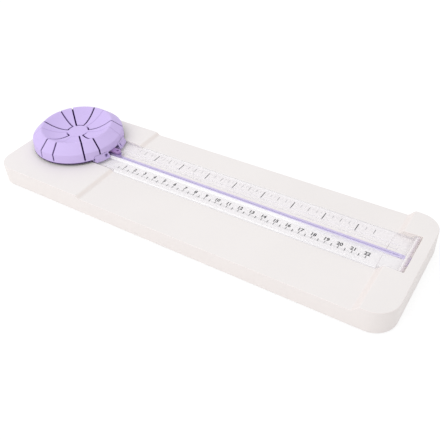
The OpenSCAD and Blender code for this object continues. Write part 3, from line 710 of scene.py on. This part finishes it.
spring_steel = worked_steel("spring_steel", WIRE, rough=0.3, per_metre=(2500.0, 2500.0, 2500.0))
for k in range(1, 5):
    node = f"return_spring_{k}"
    low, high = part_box(node)
    length = high.z - spring_gap - low.z
    bm = bmesh.new()
    add_coil(bm, (low + high) / 2, (high.x - low.x) / 2 - wire_r, low.z, low.z + length, coil_turns)
    bmesh.ops.recalc_face_normals(bm, faces=bm.faces)
    spring = piece_of(bm, f"coil_spring_{k}", "cutter_carriage", spring_steel, [node])
    spring.modifiers.clear()
    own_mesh(spring)

# Palm cap: a round dished lilac shell that the palm presses down, moulded in one piece.
# Six petals are outlined by deep grooves that run over the crest and down the wall, and arches in the
# wall clear the ribs of the rail and the blade holder.
# Colour of the painted shade in the grooves, on the band at the foot and inside the cap.
GROOVE_SHADE = (0.03, 0.0, 0.085)
crest_r = 30.0 * MM
break_r, break_z = 38.65 * MM, foot_z + 8.2 * MM
flat_r, disc_z = 10.4 * MM, foot_z + 8.5 * MM
dish_rise = 18.77
bowl_r = crest_r - 2.6 * MM
wall = 2.0 * MM
groove_w, groove_d, groove_lip = 1.2 * MM, 1.5 * MM, 0.16 * MM
groove_stop = 0.8
petals = 6
petal_half = math.radians(20)
petal_r = 9.2 * MM
# A band this high at the foot of the cap gets this share of the painted shade, a painted shadow for the gap
# under it.
foot_shade, foot_darkness = 1.0 * MM, 0.8
# Corners of the cap's outside below its bowl, as radius, height and rounding.
crest_corner = crest_r + 0.1 * MM, crest_z + 0.5 * MM, 1.7 * MM
break_corner = break_r, break_z, 1.4 * MM
waist_corner = break_r + 0.3 * MM, break_z - 4.6 * MM, 6 * MM
foot_corner = foot_r, foot_z, 0.5 * MM
# Corners of its inside up to the crest, as radius and height, and the radius at which its inner bowl starts.
inside_corners = [(foot_r - wall, foot_z + 1 * MM), (break_r - wall, break_z - 0.6 * MM),
                  (crest_r - 0.6 * MM, crest_z - 1.6 * wall)]
inside_bowl_r = crest_r - 3 * MM
# Depth of the two side grooves of each petal and of the two ends of its inner groove, from petal 0 at +X.
# A groove of negative depth has that depth outside the crest only.
side_grooves = [(1.0, 0.15), (1.0, 0.15), (1.0, 1.0), (0.5, 1.0), (0.15, 0.7), (-0.55, 1.0)]
inner_grooves = [(0.6, 0.1), (1.0, 0.2), (0.6, 0.6), (1.0, 1.0), (0.1, 1.0), (0.1, 0.1)]
crest_groove = 0.1
# Rows of the mesh over the disc, the inner grooves, the bowl and the inside, and columns over a petal and
# between two petals.
disc_rows, ring_rows, bowl_rows, inside_rows = 6, 17, 26, 12
petal_columns, gap_columns = 12, 5
wall_step = 0.8 * MM


def dish(r):
    """Height of the dish at radius r."""
    return disc_z + dish_rise * max(r - flat_r, 0.0) ** 2


def rounded_path(corners, step):
    """Points along a path of straight runs; a corner is (x, y, radius), rounded by that radius."""
    points = [Vector(corners[0][:2])]
    for before, corner, after in zip(corners, corners[1:], corners[2:]):
        at, radius = Vector(corner[:2]), corner[2]
        a = (Vector(before[:2]) - at).normalized()
        b = (Vector(after[:2]) - at).normalized()
        half = a.angle(b) / 2
        cut = radius / math.tan(half)
        centre = at + (a + b).normalized() * radius / math.sin(half)
        arc = max(2, int((math.pi - 2 * half) * radius / (0.5 * step)) + 1)
        for k in range(arc + 1):
            p = (at + a * cut).lerp(at + b * cut, k / arc)
            points.append(centre + (p - centre).normalized() * radius)
    points.append(Vector(corners[-1][:2]))
    filled = [points[0]]
    for p in points[1:]:
        start = filled[-1].copy()
        cuts = max(1, round((p - start).length / step))
        filled += [start.lerp(p, k / cuts) for k in range(1, cuts + 1)]
    return filled


def cap_profile():
    """Outside of the cap from its centre to the inside of its foot, as (radius, height) points."""
    ring_in, ring_out = petal_r - groove_w, petal_r + groove_w
    disc = [Vector((r, disc_z)) for r in np.linspace(0, ring_in, disc_rows)[1:]]
    ring = [Vector((r, dish(r))) for r in np.linspace(ring_in, ring_out, ring_rows)[1:]]
    bowl = [Vector((r, dish(r))) for r in np.linspace(ring_out, bowl_r, bowl_rows)[1:]]
    side = rounded_path([(bowl_r, dish(bowl_r), 0), crest_corner, break_corner, waist_corner, foot_corner,
                         (foot_r - wall, foot_z, 0)], wall_step)
    return disc + ring + bowl + side[1:]


def trough(far):
    """How deep a point lies in a groove whose middle is far away, from 0 on the skin to 1 on the floor."""
    share = min(max((groove_w / 2 + groove_lip - far) / (2 * groove_lip), 0.0), 1.0)
    return share * share * (3 - 2 * share)


def groove_share(r, angle):
    """How deep a point of the cap lies in the grooves that outline its petal."""
    petal = round(angle * petals / (2 * math.pi))
    turn = angle - petal * 2 * math.pi / petals
    aside = abs(turn) - petal_half
    along, across = r * math.cos(aside), r * math.sin(aside)
    far = abs(across) if along > petal_r else math.hypot(along - petal_r, across)
    depth = side_grooves[petal % petals][turn > 0]
    if depth < 0:
        depth = min(max((r - crest_r) / groove_w + 0.5, crest_groove), -depth)
    share = trough(far) * depth
    if aside < 0:
        start, end = inner_grooves[petal % petals]
        place = (turn + petal_half) / (2 * petal_half)
        share = max(share, trough(abs(r - petal_r)) * (start + (end - start) * place))
    return share


def column_angles(r):
    """Angles of the cap's mesh lines at radius r: close together across each groove, even between them."""
    r = max(r, petal_r - groove_w)
    half = groove_w / 2
    across = [-half - groove_lip, -half - groove_lip / 3, -half + groove_lip / 3, -half + groove_lip, 0.0]
    across += [-a for a in across[-2::-1]]
    reach = math.asin(across[-1] / r)
    petal_span = 2 * petal_half
    gap_span = 2 * math.pi / petals - petal_span
    angles = []
    for k in range(petals):
        for side, span, cuts in ((-1, petal_span, petal_columns), (1, gap_span, gap_columns)):
            at = 2 * math.pi * k / petals + side * petal_half
            angles += [at + math.asin(a / r) for a in across]
            angles += [at + reach + (span - 2 * reach) * c / cuts for c in range(1, cuts)]
    return angles


def on_the_cap(r, angle, height):
    """Point at a radius, an angle and a height about the cap's axis."""
    return cap_x + r * math.cos(angle), cap_y + r * math.sin(angle), height


def cap_skin():
    """The cap as one closed mesh, with its grooves, before its arches are cut. A layer marks where shade is
    painted: in the grooves, on a band at the foot and all over the inside.
    """
    bm = bmesh.new()
    depth = bm.verts.layers.float.new("groove")
    outside = cap_profile()
    rows = []
    for k, p in enumerate(outside):
        along = (outside[min(k + 1, len(outside) - 1)] - outside[max(k - 1, 0)]).normalized()
        inward = Vector((along.y, -along.x))
        above_foot = min(max((p.y - foot_z) / groove_d - groove_stop, 0.0), 1.0)
        row = []
        for angle in column_angles(p.x):
            share = groove_share(p.x, angle) * above_foot
            q = p + inward * groove_d * share
            vert = bm.verts.new(on_the_cap(q.x, angle, q.y))
            # Points in the band at the foot are painted in shade as well.
            vert[depth] = max(share, foot_darkness * (p.y < foot_z + foot_shade))
            row.append(vert)
        rows.append(row)
    bowl = [(r, dish(r) - wall) for r in np.linspace(inside_bowl_r, petal_r, inside_rows)]
    for r, height in inside_corners + bowl:
        rows.append([bm.verts.new(on_the_cap(r, angle, height)) for angle in column_angles(r)])
        # Every point of the inside is painted in full shade.
        for vert in rows[-1]:
            vert[depth] = 1.0
    count = len(rows[0])
    for a, b in zip(rows, rows[1:]):
        for k in range(count):
            bm.faces.new((a[k], b[k], b[(k + 1) % count], a[(k + 1) % count]))
    top = bm.verts.new((cap_x, cap_y, disc_z))
    under = bm.verts.new((cap_x, cap_y, disc_z - wall))
    for k in range(count):
        bm.faces.new((top, rows[0][k], rows[0][(k + 1) % count]))
        bm.faces.new((under, rows[-1][(k + 1) % count], rows[-1][k]))
    return bm


def cut_away(bm, cutters):
    """The mesh with closed cutters taken out of it."""
    mesh = bpy.data.meshes.new("uncut")
    bm.to_mesh(mesh)
    bm.free()
    whole = put_in_scene("uncut", mesh)
    tools = []
    for cutter in cutters:
        data = bpy.data.meshes.new("cutter")
        cutter.to_mesh(data)
        cutter.free()
        tools.append(put_in_scene("cutter", data))
        cut = whole.modifiers.new("cut", "BOOLEAN")
        cut.operation, cut.solver, cut.object = "DIFFERENCE", "EXACT", tools[-1]
    graph = bpy.context.evaluated_depsgraph_get()
    result = bmesh.new()
    result.from_mesh(whole.evaluated_get(graph).data)
    for spent in [whole, *tools]:
        bpy.data.meshes.remove(spent.data)
    return result


def grooved_plastic(name, colour, floor):
    """Satin moulded plastic with painted shade where the mesh's groove layer marks it."""
    full_shade = 0.65
    material = moulded_plastic(name, colour, gloss=0.36, cloud=0.03)
    tree = material.node_tree
    depth = grow(tree, "ShaderNodeAttribute", attribute_name="groove").outputs["Fac"]
    shade = grow(tree, "ShaderNodeMapRange", {"Value": depth, "From Max": full_shade},
                 interpolation_type="SMOOTHSTEP")
    paint_over(material, shade.outputs["Result"], floor)
    tree.nodes["Principled BSDF"].inputs["Specular IOR Level"].default_value = 0.02
    return material


arch_half, arch_top, arch_radius = 7.0 * MM, foot_z + 3.6 * MM, 3 * MM
front_arch_top, front_arch_radius = foot_z + 2.4 * MM, 2 * MM
notch_half, notch_top = 19.4 * MM, 20.2 * MM
cut_foot, cut_past, cut_overlap = foot_z - 2 * MM, foot_r + 5 * MM, 1 * MM
arch_step = 1 * MM


def opening(half, top, radius, x0, x1):
    """Cutter along X with a flat foot, and round upper corners where it has a radius."""
    corners = [(half, cut_foot, 0), (half, top, radius), (-half, top, radius), (-half, cut_foot, 0)]
    outline = rounded_path(corners, arch_step) if radius else corners
    return between(*([(cap_x + x, cap_y + p[0], p[1]) for p in outline] for x in (x0, x1)))


cutters = [opening(arch_half, arch_top, arch_radius, -cut_past, 0),
           opening(arch_half, front_arch_top, front_arch_radius, -cut_overlap, cut_past),
           opening(notch_half, notch_top, 0, 0, cut_past)]
cap_plastic = grooved_plastic("lilac_cap_plastic", LILAC, GROOVE_SHADE)
cap = cut_away(cap_skin(), cutters)
piece_of(cap, "palm_cap_shell", "cutter_cap", cap_plastic, ["palm_cap"])

# Guide tubes: four lilac tubes under the cap, part of its moulding, each with a seat for a spring.
# They slide in the carriage's collars, and the cap's screws turn into them.
tube_r, tube_edge = 2.5 * MM, 0.2 * MM
pilot_r, pilot_depth = 1.2 * MM, 5 * MM
seat_r = 3.7 * MM
tube_root = 0.2 * MM
tube_sides = 48
spring_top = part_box("return_spring_1")[1].z - spring_gap
bm = bmesh.new()
for points in separate_solids("cap_washers"):
    low, high = points.min(0), points.max(0)
    tube_end = high[2]
    tube = [(0, tube_end + pilot_depth), (pilot_r, tube_end + pilot_depth), (pilot_r, tube_end),
            (tube_r - tube_edge, tube_end), (tube_r, tube_end + tube_edge), (tube_r, spring_top),
            (seat_r, spring_top), (seat_r, crest_z), (0, crest_z)]
    lathe(bm, tube, (low + high) / 2, tube_sides)
for vert in bm.verts:
    if vert.co.z > crest_z - slack:
        vert.co.z = dish(math.hypot(vert.co.x - cap_x, vert.co.y - cap_y)) - wall + tube_root
bmesh.ops.recalc_face_normals(bm, faces=bm.faces)
piece_of(bm, "cap_guide_tubes", "cutter_cap", lilac_plastic)
dress("cap_washers", zinc)

# Blade holder: a purple block screwed under the cap, with a round nose that stands in front of the arch.
# The blade sits in its slit on a cross pin, and the nose has a blind hole in its top.
HOLDER_PURPLE = (0.39, 0.24, 0.52)
STEEL = (0.60, 0.60, 0.62)
nose_low, nose_squat, nose_slim = 18.45 * MM, 0.67, 0.96
nose_r = 2.8 * MM
hole_r, hole_depth, hole_aside, hole_sides = 1.1 * MM, 2.0 * MM, 0.2 * MM, 24
holder_edge = 0.2 * MM
holder_plastic = moulded_plastic("holder_plastic", HOLDER_PURPLE, gloss=0.36)
holder_low, holder_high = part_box("blade_holder")
bm = solid_copy("blade_holder")
for vert in bm.verts:
    if vert.co.x > cap_x + foot_r:
        vert.co.z = nose_low + nose_squat * (vert.co.z - holder_low.z)
        vert.co.y = cap_y + nose_slim * (vert.co.y - cap_y)
round_edges(bm, holder_edge, segments=3)
nose_x = holder_high.x - nose_r
nose_top = max(vert.co.z for vert in bm.verts if vert.co.x > nose_x)
hole = bmesh.new()
lathe(hole, [(0, nose_top - hole_depth), (hole_r, nose_top - hole_depth), (hole_r, nose_top + hole_r),
             (0, nose_top + hole_r)], (nose_x - hole_aside, cap_y + hole_aside), hole_sides)
bmesh.ops.recalc_face_normals(hole, faces=hole.faces)
bm = cut_away(bm, [hole])
piece_of(bm, "blade_holder_block", "cutter_cap", holder_plastic, ["blade_holder"])
dress("blade_pin", worked_steel("pin_steel", STEEL, rough=0.25, per_metre=(3000.0, 150.0, 3000.0)))

# Blade: a small plate of hardened steel with a point in the middle, held in the holder's slit by its pin.
# It is ground on both faces so that it cuts both ways.
BLADE = (0.72, 0.72, 0.74)
dress("blade", worked_steel("blade_steel", BLADE, rough=0.2, per_metre=(200.0, 200.0, 3500.0)))

# Table and light: a white table under the trimmer, a soft lamp from the front left and an even white room.
# Seen directly the table and the room are plain white, and the table keeps the trimmer's soft shadow.
CARD = (0.9, 0.9, 0.9)
table_half = 6.0
table_shade, table_lift = 0.25, 0.05
room_light, room_shade = 0.95, 0.77
lamp_power = 5.0
lamp_from = Vector((-0.3, -0.6, 0.8))
lamp_distance = 1.4
lamp_size = 0.9


def seen_directly(tree):
    """1 for rays that show the background: from the eye, in a gloss or through clear plastic."""
    rays = grow(tree, "ShaderNodeLightPath").outputs
    shiny = maths(tree, "MAXIMUM", rays["Is Glossy Ray"], rays["Is Transmission Ray"])
    return maths(tree, "MAXIMUM", rays["Is Camera Ray"], shiny)


def table_top():
    """White table that shows almost plain white with a light shadow, and lights the object as card does."""
    material = bpy.data.materials.new("table")
    material.use_nodes = True
    tree = material.node_tree
    tree.nodes.remove(tree.nodes["Principled BSDF"])
    card = grow(tree, "ShaderNodeBsdfDiffuse", {"Color": (*CARD, 1)})
    glow = grow(tree, "ShaderNodeEmission", {"Color": (1, 1, 1, 1), "Strength": 1 - table_shade + table_lift})
    shade = grow(tree, "ShaderNodeBsdfDiffuse", {"Color": (table_shade, table_shade, table_shade, 1)})
    shown = grow(tree, "ShaderNodeAddShader", {0: glow.outputs["Emission"], 1: shade.outputs["BSDF"]})
    both = grow(tree, "ShaderNodeMixShader", {0: seen_directly(tree), 1: card.outputs["BSDF"],
                                              2: shown.outputs["Shader"]})
    tree.links.new(both.outputs["Shader"], tree.nodes["Material Output"].inputs["Surface"])
    return material


bm = bmesh.new()
bmesh.ops.create_grid(bm, x_segments=1, y_segments=1, size=table_half)
mesh = bpy.data.meshes.new("table")
bm.to_mesh(mesh)
bm.free()
mesh.materials.append(table_top())
table = put_in_scene("table", mesh)

room = bpy.data.worlds.new("room")
room.use_nodes = True
tree = room.node_tree
direction = xyz(tree, grow(tree, "ShaderNodeTexCoord").outputs["Generated"])
fall = ramp(tree, direction["X"], -1.0, 1.0, room_light, room_shade)
strength = ramp(tree, seen_directly(tree), 0.0, 1.0, fall, 1.0)
background = tree.nodes["Background"]
background.inputs["Color"].default_value = (1, 1, 1, 1)
tree.links.new(strength, background.inputs["Strength"])
bpy.context.scene.world = room

lamp_data = bpy.data.lights.new("soft_lamp", "AREA")
lamp_data.energy, lamp_data.size = lamp_power, lamp_size
lamp = put_in_scene("soft_lamp", lamp_data)
lamp.location = lamp_from.normalized() * lamp_distance
lamp.rotation_euler = lamp_from.to_track_quat("Z", "Y").to_euler()

# Camera: the photograph's own eye point, aim, tilt and lens.
# They come from a pinhole camera fitted to the marks of the scales and the edges of the base.
eye = Vector((0.2212, -0.2969, 0.2991))
aim = Vector((-0.432, 0.629, -0.646)).normalized()
upward = Vector((-0.318, 0.564, 0.762))
lens, sensor = 48.92, 36.0
nearest, farthest = 0.01, 20
rightward = aim.cross(upward).normalized()
camera_data = bpy.data.cameras.new("camera")
camera_data.lens, camera_data.sensor_width = lens, sensor
camera_data.clip_start, camera_data.clip_end = nearest, farthest
camera = put_in_scene("camera", camera_data)
tilt = Matrix((rightward, rightward.cross(aim), -aim)).transposed()
camera.matrix_world = Matrix.Translation(eye) @ tilt.to_4x4()
bpy.context.scene.camera = camera
bpy.context.scene.view_settings.view_transform = "Standard"
